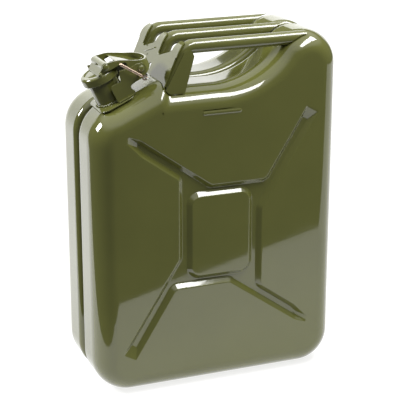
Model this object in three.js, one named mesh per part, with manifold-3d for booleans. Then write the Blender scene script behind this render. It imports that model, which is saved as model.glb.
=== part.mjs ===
// Pressed steel jerrycan for twenty litres of fuel, with a lever-clamped lid.
// Millimetres. +X runs from the spout end to the air hump, +Y from the front wide face to the
// rear one, +Z up. The origin is the middle of the footprint, on the surface the can stands on.
import * as THREE from 'three';
import { mergeVertices } from 'three/addons/utils/BufferGeometryUtils.js';
import Module from 'manifold-3d';

const wasm = await Module();
wasm.setup();

// ---- Driving dimensions ------------------------------------------------------------------
const LENGTH = 344; // along X
const DEPTH = 165; // along Y, over the two wide faces
const HEIGHT = 476; // to the top of the hump and of the handles
const SHEET = 1; // wall of each half shell
const GAP = 0.3; // left between parts that touch
const FACE_ROUND = 27; // rounding from a wide face to the narrow sides
const FOOT_ROUND = 48; // bottom corners, seen from the front
const HUMP_ROUND = 45; // top corner at the hump
const SPOUT_ROUND = 51; // top corner at the spout
const SHOULDER_ANGLE = 24.4 * Math.PI / 180; // slope of the shoulder that carries the neck
const SHOULDER_HEIGHT = 403.7; // height of the shoulder plane at SHOULDER_X
const SHOULDER_X = -117.5;
const CREST_X = -72; // where the shoulder ends and drops to the hand recess
const RECESS_FLOOR = 414.5; // flat floor of the hand recess
const DROP_ANGLE = 55 * Math.PI / 180; // slope from the crest down to that floor
const RECESS_X = 0; // where the floor turns up into the big arc
const RECESS_RADIUS = 120; // big arc from the floor up to the hump
const HUMP_LEFT_ROUND = 41.88; // rounding that meets the arc and the hump top tangentially
const LIP_ROUND = 10; // lips of the seam groove
const LIP_START = 15; // half width of the groove mouth
const GROOVE_DEPTH = 11; // outer face of the seam flange below the narrow sides
const PRESS_DEPTH = 6; // depth of the pressed cross
const PRESS_SLOPE = 6; // width of its sloping walls
const PAD_HALF = [40.5, 55]; // half width and half height of the raised pad in the cross
const FACE_CENTRE_Z = 215; // height of the middle of the pressed cross
const HANDLE_PITCH = 61.5; // between neighbouring handles
const HANDLE_RADIUS = 9;
const HANDLE_WALL = 1.2;
const HANDLE_BEND = 16; // centre-line radius of the bend
const LEG_ANGLE = 23.4 * Math.PI / 180; // lean of the handle legs from the vertical
const NECK_U = -15.8; // neck centre along the shoulder, from SHOULDER_X
const CLOSURE_Y = -30; // plane of symmetry of neck, lid and lever
const NECK_RADIUS = 19;
const NECK_WALL = 1.2;
const NECK_TOP = 40; // rim above the shoulder plane
const NECK_FOOT = -13; // lower edge, inside the tank
const LID_RADIUS = 24.3;
const LID_WALL = 1.5;
const LID_TOP = 44.3;
const LID_SKIRT = 33;
const HINGE = [31.6, 28.6]; // lever hinge, along and above the shoulder
const LID_PIN = [-7.7, 51]; // pin that hangs the lid in the lever
const CHEEK_OUT = 24.7; // outer faces of the lever cheeks, from the closure plane
const CHEEK_WALL = 2;
const EAR_IN = 25; // inner faces of the bracket ears
const EAR_WALL = 2;
const LOCK_HOLE = [25.7, 23.5]; // locking pin hole in the near ear
const LOCK_TIP = [7.7, 49.9]; // free end of the locking pin's grip
const LOCK_OFF = 6.9; // axis of the grip in front of the near ear, outside the lid's reach
const LOCK_RADIUS = 1.9;

// ---- Materials ---------------------------------------------------------------------------
const paint = (shade = 1) => new THREE.MeshStandardMaterial({
  color: new THREE.Color(0.09 * shade, 0.095 * shade, 0.022 * shade), roughness: 0.18, metalness: 0.0,
});
const copper = () => new THREE.MeshStandardMaterial({ color: 0xc08a5a, roughness: 0.3, metalness: 1 });
const zinc = () => new THREE.MeshStandardMaterial({ color: 0x9a9a90, roughness: 0.35, metalness: 1 });
const rubber = () => new THREE.MeshStandardMaterial({ color: 0x141414, roughness: 0.7, metalness: 0 });

// ---- Solids from rings of points ---------------------------------------------------------
// Each ring is a list of [x, y, z] with the same number of points. Rings are joined in order.
function ringMesh(rings, { wrap = false, caps = null } = {}) {
  const count = rings[0].length;
  const positions = rings.flat(2);
  const index = [];
  const last = wrap ? rings.length : rings.length - 1;
  for (let r = 0; r < last; r += 1) {
    const a = r * count;
    const b = ((r + 1) % rings.length) * count;
    for (let i = 0; i < count; i += 1) {
      const j = (i + 1) % count;
      index.push(a + i, a + j, b + j, a + i, b + j, b + i);
    }
  }
  if (caps) {
    const end = (rings.length - 1) * count;
    index.push(...capTriangles(rings[0], caps).flatMap(([a, b, c]) => [c, b, a]));
    index.push(...capTriangles(rings[rings.length - 1], caps).flat().map((i) => end + i));
  }
  const geometry = new THREE.BufferGeometry();
  geometry.setAttribute('position', new THREE.Float32BufferAttribute(positions, 3));
  geometry.setIndex(index);
  return facingOut(geometry);
}

// Triangles that fill a flat ring, turned the way the ring runs.
function capTriangles(ring, flatten) {
  const flat = ring.map((p) => new THREE.Vector2(...flatten(p)));
  const triangles = THREE.ShapeUtils.triangulateShape(flat, []);
  const area = ([a, b, c]) => flat[b].clone().sub(flat[a]).cross(flat[c].clone().sub(flat[a]));
  const filled = triangles.reduce((sum, t) => sum + area(t), 0);
  const agrees = filled * THREE.ShapeUtils.area(flat) > 0;
  return agrees ? triangles : triangles.map(([a, b, c]) => [c, b, a]);
}

function signedVolume(geometry) {
  const p = geometry.attributes.position;
  const [a, b, c] = [new THREE.Vector3(), new THREE.Vector3(), new THREE.Vector3()];
  let sum = 0;
  for (let i = 0; i < geometry.index.count; i += 3) {
    a.fromBufferAttribute(p, geometry.index.getX(i));
    b.fromBufferAttribute(p, geometry.index.getX(i + 1));
    c.fromBufferAttribute(p, geometry.index.getX(i + 2));
    sum += a.dot(b.cross(c));
  }
  return sum;
}

function facingOut(geometry) {
  if (signedVolume(geometry) < 0) {
    const list = geometry.index;
    for (let i = 0; i < list.count; i += 3) {
      const kept = list.getX(i);
      list.setX(i, list.getX(i + 2));
      list.setX(i + 2, kept);
    }
  }
  return geometry;
}

function toSolid(source) {
  const bare = source.clone();
  bare.deleteAttribute('normal');
  bare.deleteAttribute('uv');
  const merged = mergeVertices(bare, 1e-4);
  const kept = [];
  for (let i = 0; i < merged.index.count; i += 3) {
    const [a, b, c] = [0, 1, 2].map((k) => merged.index.getX(i + k));
    if (a !== b && b !== c && c !== a) kept.push(a, b, c);
  }
  merged.setIndex(kept);
  facingOut(merged);
  return new wasm.Manifold(new wasm.Mesh({
    numProp: 3,
    vertProperties: new Float32Array(merged.attributes.position.array),
    triVerts: new Uint32Array(merged.index.array),
  }));
}

function toGeometry(solid) {
  const mesh = solid.getMesh();
  const geometry = new THREE.BufferGeometry();
  geometry.setAttribute('position', new THREE.Float32BufferAttribute(mesh.vertProperties, 3));
  geometry.setIndex(new THREE.Uint32BufferAttribute(mesh.triVerts, 1));
  return geometry;
}

const cut = (first, ...others) => toGeometry(others.reduce((s, o) => s.subtract(toSolid(o)), toSolid(first)));
const join = (first, ...others) => toGeometry(others.reduce((s, o) => s.add(toSolid(o)), toSolid(first)));
const overlap = (first, other) => toGeometry(toSolid(first).intersect(toSolid(other)));

// A prism of an outline in the X-Z plane, between two values of Y.
function prism(outline, yLow, yHigh) {
  const at = (y) => outline.map(([x, z]) => [x, y, z]);
  return ringMesh([at(yLow), at(yHigh)], { caps: ([x, , z]) => [x, z] });
}

// A cylinder along Y in the X-Z position given.
function barY(radius, [x, z], yLow, yHigh, sides = 16) {
  return prism(circle([x, z], radius, sides), yLow, yHigh);
}

const circle = (centre, radius, sides) => arc(centre, radius, 0, 360 - 360 / sides, sides - 1);

// Points on an arc in the X-Z plane, angles in degrees from +X towards +Z.
function arc([x, z], radius, from, to, steps) {
  const points = [];
  for (let i = 0; i <= steps; i += 1) {
    const angle = THREE.MathUtils.degToRad(from + (to - from) * i / steps);
    points.push([x + radius * Math.cos(angle), z + radius * Math.sin(angle)]);
  }
  return points;
}

// Rounds one corner of a polyline: the arc that touches both edges.
function fillet(before, corner, after, radius, steps) {
  const [b, c, a] = [before, corner, after].map((p) => new THREE.Vector2(...p));
  const toB = b.sub(c).normalize();
  const toA = a.sub(c).normalize();
  const half = Math.acos(THREE.MathUtils.clamp(toB.dot(toA), -1, 1)) / 2;
  const middle = toB.clone().add(toA).normalize().multiplyScalar(radius / Math.sin(half)).add(c);
  const touch = (to) => to.clone().multiplyScalar(radius / Math.tan(half)).add(c).sub(middle);
  const [start, end] = [touch(toB), touch(toA)];
  const turn = Math.atan2(start.cross(end), start.dot(end));
  return Array.from({ length: steps + 1 }, (_, i) => {
    const p = start.clone().rotateAround(new THREE.Vector2(), turn * i / steps).add(middle);
    return [p.x, p.y];
  });
}

function rounded(corners, radius, steps = 4) {
  const n = corners.length;
  return corners.flatMap((corner, i) => {
    const r = Array.isArray(radius) ? radius[i] : radius;
    return r ? fillet(corners[(i + n - 1) % n], corner, corners[(i + 1) % n], r, steps) : [corner];
  });
}

// Moves every edge of a counter-clockwise polygon inwards by its own distance.
function inset(points, distances) {
  const n = points.length;
  const lines = points.map((p, i) => {
    const q = points[(i + 1) % n];
    const size = Math.hypot(q[0] - p[0], q[1] - p[1]);
    const normal = [-(q[1] - p[1]) / size, (q[0] - p[0]) / size];
    const d = Array.isArray(distances) ? distances[i] : distances;
    return [normal[0], normal[1], normal[0] * p[0] + normal[1] * p[1] + d];
  });
  return points.map((_, i) => {
    const [a, b, c] = lines[(i + n - 1) % n];
    const [d, e, f] = lines[i];
    const det = a * e - b * d;
    return [(c * e - b * f) / det, (a * f - c * d) / det];
  });
}

// ---- Outline of the can in the X-Z plane -------------------------------------------------
const SIDE_X = LENGTH / 2;
const SLOPE = Math.tan(SHOULDER_ANGLE);
const shoulderZ = (x) => SHOULDER_HEIGHT + (x - SHOULDER_X) * SLOPE;
const HUMP_X = SIDE_X - HUMP_ROUND;
const ARC_CENTRE_Z = RECESS_FLOOR + RECESS_RADIUS;
const ARC_SWEEP = THREE.MathUtils.radToDeg(
  Math.asin((HUMP_X - RECESS_X) / (RECESS_RADIUS + HUMP_LEFT_ROUND)),
);

// The outline, counter-clockwise, with every edge moved inwards by depth.
function canOutline(depth) {
  const spoutX = -SIDE_X + SPOUT_ROUND;
  const spoutZ = shoulderZ(spoutX) - SPOUT_ROUND / Math.cos(SHOULDER_ANGLE);
  const shoulderLow = (x) => shoulderZ(x) - depth / Math.cos(SHOULDER_ANGLE);
  const floor = RECESS_FLOOR - depth;
  const fall = Math.tan(DROP_ANGLE);
  const dropZ = (x) => shoulderZ(CREST_X) - (x - CREST_X) * fall - depth / Math.cos(DROP_ANGLE);
  const crestX = CREST_X + depth * (1 / Math.cos(SHOULDER_ANGLE) - 1 / Math.cos(DROP_ANGLE)) / (SLOPE + fall);
  const crest = [crestX, dropZ(crestX)];
  const footX = CREST_X + (shoulderZ(CREST_X) - depth / Math.cos(DROP_ANGLE) - floor) / fall;
  const foot = [footX, floor];
  const soft = 1 - depth / (2.2 * FACE_ROUND);
  return [
    ...arc([-SIDE_X + FOOT_ROUND, FOOT_ROUND], FOOT_ROUND - depth, 180, 270, 7),
    ...arc([SIDE_X - FOOT_ROUND, FOOT_ROUND], FOOT_ROUND - depth, 270, 360, 7),
    ...arc([HUMP_X, HEIGHT - HUMP_ROUND], HUMP_ROUND - depth, 0, 85, 7),
    ...arc([HUMP_X, HEIGHT - HUMP_LEFT_ROUND], HUMP_LEFT_ROUND - depth, 90, 90 + ARC_SWEEP, 4),
    ...arc([RECESS_X, ARC_CENTRE_Z], RECESS_RADIUS + depth, -90 + ARC_SWEEP, -90, 9).slice(1),
    ...fillet([RECESS_X, floor], foot, crest, 9 * soft, 3),
    ...fillet(foot, crest, [-SIDE_X, shoulderLow(-SIDE_X)], 8 * soft, 3),
    ...arc([spoutX, spoutZ], SPOUT_ROUND - depth, 90 + THREE.MathUtils.radToDeg(SHOULDER_ANGLE), 180, 6),
  ];
}

const canRing = (y, depth) => canOutline(depth).map(([x, z]) => [x, y, z]);

// ---- Half shells -------------------------------------------------------------------------
const FACE_Y = DEPTH / 2;

// Section of one half shell as [distance from the seam plane, depth below the outline].
function shellSection() {
  const corner = FACE_Y - FACE_ROUND;
  const curve = (radius, steps) => Array.from({ length: steps + 1 }, (_, i) => {
    const a = Math.PI / 2 * i / steps;
    return [corner + radius * Math.cos(a), FACE_ROUND - radius * Math.sin(a)];
  });
  const lip = (radius, steps) => Array.from({ length: steps + 1 }, (_, i) => {
    const a = Math.PI / 2 * i / steps;
    return [LIP_START - radius * Math.sin(a), LIP_ROUND - radius * Math.cos(a)];
  });
  const seam = GAP / 2;
  const outside = [...curve(FACE_ROUND, 5), ...lip(LIP_ROUND, 3), [LIP_START - LIP_ROUND, GROOVE_DEPTH],
    [seam, GROOVE_DEPTH]];
  const inside = [...curve(FACE_ROUND - SHEET, 5), ...lip(LIP_ROUND - SHEET, 3),
    [LIP_START - LIP_ROUND + SHEET, GROOVE_DEPTH + SHEET], [seam, GROOVE_DEPTH + SHEET]];
  return [...outside, ...inside.reverse()];
}

// Edge of the pressed cross: the lower edge of the top panel, then the left edge of the right
// panel. The other half is the same, turned half a circle about the middle of the face.
const CROSS_HALF = [
  [139, 154], [59, 29], [59, -81], [110, -118], [129, -138],
  [129, -147], [110, -140], [13, -70.3], [-64, -70.3], [-122, -164],
];
const CROSS_TIP = 16; // how much sooner the floor of an arm ends than its rim

function crossOutline(level) {
  const points = [...CROSS_HALF, ...CROSS_HALF.map(([x, z]) => [-x, -z])].reverse();
  const tipEdge = (i) => i % 5 === 4;
  const distances = points.map((_, i) => (tipEdge(i) ? CROSS_TIP : PRESS_SLOPE) * level);
  return inset(points, distances).map(([x, z]) => [x, z + FACE_CENTRE_Z]);
}

function padOutline(grow) {
  const [w, h] = PAD_HALF.map((half) => half + grow);
  return rounded([[-w, -h], [w, -h], [w, h], [-w, h]], 12, 3).map(([x, z]) => [x, z + FACE_CENTRE_Z]);
}

// The pressed cross as a solid; spread makes it larger all round by the sheet's thickness.
function crossSolid(spread, top) {
  const grow = spread / PRESS_SLOPE;
  const ring = (points, y) => points.map(([x, z]) => [x, y, z]);
  const level = (top - FACE_Y) / PRESS_DEPTH;
  const cross = ringMesh([
    ring(crossOutline(-level - grow), -top),
    ring(crossOutline(1 - grow), -FACE_Y + PRESS_DEPTH + spread),
  ], { caps: ([x, , z]) => [x, z] });
  const pad = ringMesh([
    ring(padOutline(-level * PRESS_SLOPE - PRESS_SLOPE / 3 - spread), -top - 1),
    ring(padOutline(PRESS_SLOPE + PRESS_SLOPE / 3 - spread), -FACE_Y + PRESS_DEPTH + spread + 1),
  ], { caps: ([x, , z]) => [x, z] });
  return cut(cross, pad);
}

function faceBar() {
  return prism(rounded([[-25.5, 380.5], [27.5, 380.5], [27.5, 384.2], [-25.5, 384.2]], 1.8, 3),
    -FACE_Y - 0.9, -FACE_Y + SHEET / 2);
}

function halfShell() {
  const rings = shellSection().map(([y, depth]) => canRing(-y, depth));
  const plain = ringMesh(rings, { caps: ([x, , z]) => [x, z] });
  const withTray = join(plain, crossSolid(SHEET, FACE_Y - SHEET / 2), faceBar());
  return cut(withTray, crossSolid(0, FACE_Y + 1.5));
}

const mirrored = (geometry) => facingOut(geometry.clone().scale(1, -1, 1));

// A rough bead lies in the groove, over the joint of the two flanges.
function seamBead() {
  const top = GROOVE_DEPTH - GAP;
  const section = [[-2.4, top], [-1.7, top - 1.1], [0, top - 1.6], [1.7, top - 1.1], [2.4, top]];
  return ringMesh(section.map(([y, depth]) => canRing(y, depth)), { wrap: true });
}

// ---- The closure stands on the shoulder: u along it, w square to it, v across ------------
const closure = new THREE.Group();
closure.position.set(SHOULDER_X, CLOSURE_Y, SHOULDER_HEIGHT);
closure.rotation.y = -SHOULDER_ANGLE;

// A turned part about the neck's axis, from a [radius, w] profile: one that starts and ends on
// the axis, or a ring's, which closes on itself.
function turned(profile, sides = 32, u = NECK_U, v = 0) {
  const closing = profile[0][0] > 0 ? [profile[0]] : [];
  const points = [...profile, ...closing].map(([r, w]) => new THREE.Vector2(r, w));
  return new THREE.LatheGeometry(points, sides).rotateX(Math.PI / 2).translate(u, v, 0);
}

// A plate seen from above, [u, v] outline, between two heights.
function plate(outline, low, high) {
  const at = (w) => outline.map(([u, v]) => [u, v, w]);
  return ringMesh([at(low), at(high)], { caps: ([u, v]) => [u, v] });
}

const solidDisc = (radius, low, high, sides = 32) => turned(
  [[0, low], [radius, low], [radius, high], [0, high]], sides,
);

function fillerNeck() {
  const r = NECK_RADIUS;
  return turned([
    [r - NECK_WALL, NECK_FOOT], [r, NECK_FOOT], [r, NECK_TOP - 4], [r + 1.8, NECK_TOP - 3],
    [r + 1.8, NECK_TOP - 0.8], [r + 1, NECK_TOP], [r - NECK_WALL, NECK_TOP],
  ]);
}

const SADDLE = [GAP, 2.3]; // underside and top of the saddle plate
function neckSaddle() {
  const outline = rounded([[-39, -32], [10, -32], [10, 32], [-39, 32]], [12, 10, 10, 12], 4);
  return cut(plate(outline, ...SADDLE), solidDisc(NECK_RADIUS + GAP, -5, 9));
}

// Fillet weld round the neck where it stands on the saddle.
function neckWeld() {
  const r = NECK_RADIUS + GAP;
  const low = SADDLE[1] + GAP;
  return turned([[r, low], [r + 2.6, low], [r + 1.4, low + 1.6], [r, low + 2.6]]);
}

// Ears, feet and cross strap of the bracket that carries the lever.
function clampBracket() {
  const base = SADDLE[1] + GAP;
  const ear = rounded([
    [-14, base], [9, base], [10, 15], [34, 18], [39, 26], [37.5, 34.5], [27, 37], [19, 36], [4, 40],
    [1.5, 26], [-14.5, 27],
  ], [0, 0, 3, 4, 3, 4, 4, 6, 3, 3, 4], 3);
  const outer = EAR_IN + EAR_WALL;
  const foot = (low, high) => plate([[-13, low], [8, low], [8, high], [-13, high]], base, base + 2);
  const strap = plate([[10.4, -outer], [12.4, -outer], [12.4, outer], [10.4, outer]], base, 7);
  const leg = (low, high) => prism([[-14, base], [12.4, base], [12.4, 7], [-14, 7]], low, high);
  const body = join(prism(ear, EAR_IN, outer), prism(ear, -outer, -EAR_IN), strap,
    leg(EAR_IN, outer), leg(-outer, -EAR_IN), foot(-outer - 3.5, -outer + 1), foot(outer - 1, outer + 3.5));
  const holes = [barY(3.3, HINGE, -40, 40), barY(LOCK_RADIUS + GAP, LOCK_HOLE, -40, 0, 12)];
  return cut(body, ...holes);
}

// Plan of the lever: straight cheeks and a rounded tail.
function leverPlan(shrink) {
  const half = CHEEK_OUT - shrink;
  const tail = Array.from({ length: 9 }, (_, i) => {
    const a = Math.PI * (i / 8 - 0.5);
    return [33 + (16 - shrink) * Math.cos(a), half * Math.sin(a)];
  });
  return [[-30, -half], ...tail, [-30, half]];
}

const RIM = [[-12.5, 56.8], [0.8, 54.5], [10.7, 51.7], [27, 42.6], [36, 38], [50, 32.5]]; // upper edge
const FLOOR = [[8, 50.2], [10.7, 49.4], [27, 38.6], [39, 29], [50, 25]]; // tray floor between the cheeks

function camLever() {
  const nose = arc(LID_PIN, 5.2, 110, 270, 6);
  const side = [[17.9, LID_PIN[1] - 5.2], [17.9, 31], [9, 31], [9, 17], [31, 17], [44, 21], [50, 21],
    ...[...RIM].reverse().slice(0, -1), ...nose];
  const block = overlap(prism(side, -CHEEK_OUT, CHEEK_OUT), plate(leverPlan(0), 0, 80));
  const floorLow = FLOOR.map(([u, w]) => [u - 1.2, w - 1.9]);
  const inner = plate(leverPlan(CHEEK_WALL), 0, 90);
  const above = prism([...FLOOR, [60, 90], [8, 90]], -40, 40);
  const below = prism([[60, 0], ...[...floorLow].reverse().map((p, i) => (i ? p : [60, p[1]])), [6.8, 0]],
    -40, 40);
  const front = prism([[-40, 0], [8, 0], [8, 90], [-40, 90]], -40, 40);
  const bore = [barY(3.3, HINGE, -40, 40), barY(2.8, LID_PIN, -40, 40, 14), barY(2.2, LOCK_HOLE, -40, 0, 12)];
  const window = solidDisc(LID_RADIUS + 1.5, 0, LID_TOP + 1.8);
  return cut(block, overlap(inner, above), overlap(inner, below), overlap(inner, front), window, ...bore);
}

function hingePin() {
  const ends = EAR_IN + EAR_WALL + 1.2;
  const shank = barY(3, HINGE, -ends - 1, ends + 1);
  return join(shank, barY(4.2, HINGE, -ends - 2.4, -ends - 0.3), barY(4.2, HINGE, ends + 0.3, ends + 2.4));
}

function hingeWasher(side) {
  const near = EAR_IN + EAR_WALL + 0.2;
  const [low, high] = [near, near + 1].map((v) => v * side).sort((a, b) => a - b);
  return cut(barY(5, HINGE, low, high, 20), barY(3.3, HINGE, low - 1, high + 1));
}

function lidShell() {
  const r = LID_RADIUS;
  const [top, low] = [LID_TOP, LID_SKIRT];
  const rim = [[r - 3, top], [r - 0.9, top - 0.9], [r, top - 3], [r, low], [r - LID_WALL, low]];
  return turned([[0, top - LID_WALL], [0, top], ...rim, [r - LID_WALL, top - LID_WALL]].reverse());
}

const gasket = () => turned([
  [16.5, NECK_TOP + GAP], [22.4, NECK_TOP + GAP], [22.4, LID_TOP - LID_WALL - GAP], [16.5, LID_TOP - LID_WALL - GAP],
]);

// Knuckle welded on the lid: a bridge between the cheeks with the lid pin through it.
const KNUCKLE_HALF = CHEEK_OUT - CHEEK_WALL - 0.5;
function lidKnuckle() {
  const half = KNUCKLE_HALF;
  const base = LID_TOP + GAP;
  const outline = [[4, base], [2.5, base + 2.4], ...arc(LID_PIN, 5.6, 0, 180, 8), [-20, base + 2.4], [-21.5, base]];
  const slot = prism([[-22, 52.5], [-10, 52.5], [-10, 54.3], [-22, 54.3]], -7, 3);
  return cut(prism(outline.reverse(), -half, half), barY(2.8, LID_PIN, -40, 40, 14), slot);
}

function lidPin() {
  const end = CHEEK_OUT + GAP;
  return join(barY(2.5, LID_PIN, -end - 1, end + 1, 14), barY(3.9, LID_PIN, -end - 1.5, -end, 14),
    barY(3.9, LID_PIN, end, end + 1.5, 14));
}

// Stud on each side of the knuckle.
function lidLug(side) {
  const [low, high] = [KNUCKLE_HALF + GAP, 27].map((v) => v * side).sort((a, b) => a - b);
  return barY(2.2, [-18.5, 46.9], low, high, 14);
}

// Locking pin: a shank through the near ear, a grip that lies along the lever, an eye.
const GRIP_V = -(EAR_IN + EAR_WALL + LOCK_OFF);
const gripReach = () => new THREE.Vector2(...LOCK_TIP).sub(new THREE.Vector2(...LOCK_HOLE));
const EYE_REACH = 7; // eye centre beyond the shank

function eyeCentre() {
  const along = gripReach().normalize().multiplyScalar(-EYE_REACH);
  return [LOCK_HOLE[0] + along.x, LOCK_HOLE[1] + along.y];
}

function lockingPin() {
  const shank = barY(LOCK_RADIUS, LOCK_HOLE, GRIP_V, -EAR_IN - GAP / 2, 12);
  const reach = gripReach();
  const low = gripReach().normalize().multiplyScalar(-EYE_REACH / 2).add(new THREE.Vector2(...LOCK_HOLE));
  const rod = new THREE.CapsuleGeometry(LOCK_RADIUS, reach.length() + EYE_REACH / 2, 3, 12)
    .rotateX(Math.PI / 2).rotateY(Math.atan2(reach.x, reach.y))
    .translate((LOCK_TIP[0] + low.x) / 2, GRIP_V, (LOCK_TIP[1] + low.y) / 2);
  const eye = barY(3.6, eyeCentre(), GRIP_V - 1.1, GRIP_V + 1.1, 16);
  return cut(join(rod, shank, eye), barY(1.7, eyeCentre(), GRIP_V - 4, GRIP_V + 4, 12));
}

// Split ring through the eye, hanging clear of the lever's path.
const RING_RADIUS = 3.2;
const RING_WIRE = 0.6;
function pinRing() {
  const [u, w] = eyeCentre();
  const hang = new THREE.Vector2(0.8, -0.6).multiplyScalar(RING_RADIUS);
  return new THREE.TorusGeometry(RING_RADIUS, RING_WIRE, 8, 20)
    .rotateY(Math.atan2(0.6, 0.8)).translate(u + hang.x, GRIP_V, w + hang.y);
}

// ---- Handles ----------------------------------------------------------------------------
const BAR_Z = HEIGHT - HANDLE_RADIUS;
const BEND_CORNER = [-42, BAR_Z]; // where the axes of bar and leg meet

// The can as a plain solid with no groove, grown by the gap: what handles and plates end on.
function canBlock() {
  const corner = FACE_Y - FACE_ROUND;
  const rings = Array.from({ length: 7 }, (_, i) => {
    const a = Math.PI / 2 * i / 6;
    return [corner + (FACE_ROUND + GAP) * Math.cos(a), FACE_ROUND - (FACE_ROUND + GAP) * Math.sin(a)];
  });
  const half = rings.map(([y, depth]) => canRing(-y, depth));
  const other = [...rings].reverse().map(([y, depth]) => canRing(y, depth));
  return ringMesh([...half, ...other], { caps: ([x, , z]) => [x, z] });
}

// Centre line of a handle in the X-Z plane: bar, bend, leg.
function handleLine() {
  const turn = Math.PI / 2 - LEG_ANGLE;
  const reach = HANDLE_BEND * Math.tan(turn / 2);
  const start = BEND_CORNER[0] + reach;
  const bend = Array.from({ length: 7 }, (_, i) => {
    const a = turn * i / 6;
    return { at: [start - HANDLE_BEND * Math.sin(a), BAR_Z - HANDLE_BEND * (1 - Math.cos(a))], lean: a };
  });
  const foot = bend[6].at;
  const leg = 52;
  return [{ at: [HUMP_X - 1, BAR_Z], lean: 0 }, ...bend,
    { at: [foot[0] - leg * Math.sin(LEG_ANGLE), foot[1] - leg * Math.cos(LEG_ANGLE)], lean: turn }];
}

function handle(y) {
  const ring = (radius) => ({ at, lean }) => Array.from({ length: 14 }, (_, i) => {
    const a = 2 * Math.PI * i / 14;
    const off = radius * Math.cos(a);
    return [at[0] - off * Math.sin(lean), y + radius * Math.sin(a), at[1] + off * Math.cos(lean)];
  });
  const line = handleLine();
  const outer = line.map(ring(HANDLE_RADIUS));
  const inner = line.map(ring(HANDLE_RADIUS - HANDLE_WALL));
  return cut(ringMesh([...outer, ...inner.reverse()], { wrap: true }), canBlock());
}

// Local frame of the foot plate: x up the legs, y across, z away from the legs, to the left.
const PLATE_WALL = 1.5;
const PLATE_REACH = 70; // half width
const PRONG_HALF = 10.5;
function footPlate() {
  const [low, shelf, tip] = [-66, -24, -5];
  const notch = (near, far) => rounded([[tip + 9, near], [-12, near], [shelf, far - 8], [shelf, far], [tip + 9, far]],
    [0, 10, 6, 3, 0], 4);
  const blank = rounded([[low, -PLATE_REACH], [tip, -PLATE_REACH], [tip, PLATE_REACH], [low, PLATE_REACH]],
    [0, 8, 8, 0], 4);
  const inner = HANDLE_PITCH - PRONG_HALF;
  const sheet = cut(plate(blank, 0, PLATE_WALL), plate(notch(-inner, -PRONG_HALF), -5, 5),
    plate(notch(PRONG_HALF, inner), -5, 5), tieHole());
  const off = HANDLE_RADIUS + GAP;
  sheet.rotateY(LEG_ANGLE - Math.PI / 2);
  sheet.translate(BEND_CORNER[0] - off * Math.cos(LEG_ANGLE), 0, BEND_CORNER[1] + off * Math.sin(LEG_ANGLE));
  return cut(sheet, canBlock());
}

const tieHole = () => plate(circle([-43, 0], 4.2, 16), -5, 5);

// Side gusset of the outer handles: a tapered flange from the leg towards the hump.
function gusset(side) {
  const outline = rounded([[-80, 400], [-49, 400], [-33.5, 456], [-38, 466], [-47, 462]], [0, 0, 3, 4, 6], 4);
  const near = HANDLE_PITCH + HANDLE_RADIUS + GAP;
  const [low, high] = [near, near + PLATE_WALL].map((y) => y * side).sort((a, b) => a - b);
  return cut(prism(outline, low, high), canBlock());
}

// ---- Breather tube ------------------------------------------------------------------------
function breatherTube() {
  const across = new THREE.Vector3(Math.cos(SHOULDER_ANGLE), 0, Math.sin(SHOULDER_ANGLE));
  const along = new THREE.Vector3(-Math.sin(SHOULDER_ANGLE), 0, Math.cos(SHOULDER_ANGLE));
  const at = (u, w) => new THREE.Vector3(SHOULDER_X, CLOSURE_Y, SHOULDER_HEIGHT)
    .addScaledVector(across, u).addScaledVector(along, w);
  const points = [at(-4.5, 34), at(-4.5, 10), at(-4.5, -12), new THREE.Vector3(-80, CLOSURE_Y, 382),
    new THREE.Vector3(-20, CLOSURE_Y, 380), new THREE.Vector3(55, CLOSURE_Y, 388),
    new THREE.Vector3(105, CLOSURE_Y, 420), new THREE.Vector3(122, CLOSURE_Y, 452)];
  const shape = new THREE.Shape().absarc(0, 0, 4, 0, 2 * Math.PI, false);
  shape.holes.push(new THREE.Path().absarc(0, 0, 3, 0, 2 * Math.PI, true));
  return new THREE.ExtrudeGeometry(shape, {
    steps: 26, curveSegments: 5, extrudePath: new THREE.CatmullRomCurve3(points), bevelEnabled: false,
  });
}

// ---- Assembly -----------------------------------------------------------------------------
function part(name, geometry, material) {
  const mesh = new THREE.Mesh(geometry, material);
  mesh.name = name;
  return mesh;
}

const neckHole = solidDisc(NECK_RADIUS + GAP, -40, 30)
  .rotateY(-SHOULDER_ANGLE).translate(SHOULDER_X, CLOSURE_Y, SHOULDER_HEIGHT);

closure.add(
  part('filler_neck', fillerNeck(), paint()),
  part('neck_saddle', neckSaddle(), paint()),
  part('neck_weld', neckWeld(), paint()),
  part('clamp_bracket', clampBracket(), paint()),
  part('lever_hinge_pin', hingePin(), paint()),
  part('hinge_washer_front', hingeWasher(-1), paint()),
  part('hinge_washer_rear', hingeWasher(1), paint()),
  part('cam_lever', camLever(), paint()),
  part('lid', lidShell(), paint()),
  part('lid_gasket', gasket(), rubber()),
  part('lid_knuckle', lidKnuckle(), paint()),
  part('lid_pin', lidPin(), paint()),
  part('lid_lug_front', lidLug(-1), paint()),
  part('lid_lug_rear', lidLug(1), paint()),
  part('locking_pin', lockingPin(), copper()),
  part('pin_ring', pinRing(), zinc()),
);

const can = new THREE.Group();
can.add(
  part('front_shell', cut(halfShell(), neckHole), paint()),
  part('rear_shell', mirrored(halfShell()), paint()),
  part('seam_weld', seamBead(), paint(0.8)),
  part('handle_front', handle(-HANDLE_PITCH), paint()),
  part('handle_middle', handle(0), paint()),
  part('handle_rear', handle(HANDLE_PITCH), paint()),
  part('handle_foot_plate', footPlate(), paint()),
  part('gusset_front', gusset(-1), paint()),
  part('gusset_rear', gusset(1), paint()),
  part('breather_tube', breatherTube(), zinc()),
  closure,
);

export default can;
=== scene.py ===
# Steel jerrycan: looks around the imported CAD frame. Lengths are millimetres until scaled.
import math
import random

import bmesh
import bpy
from mathutils import Matrix, Vector

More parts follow.
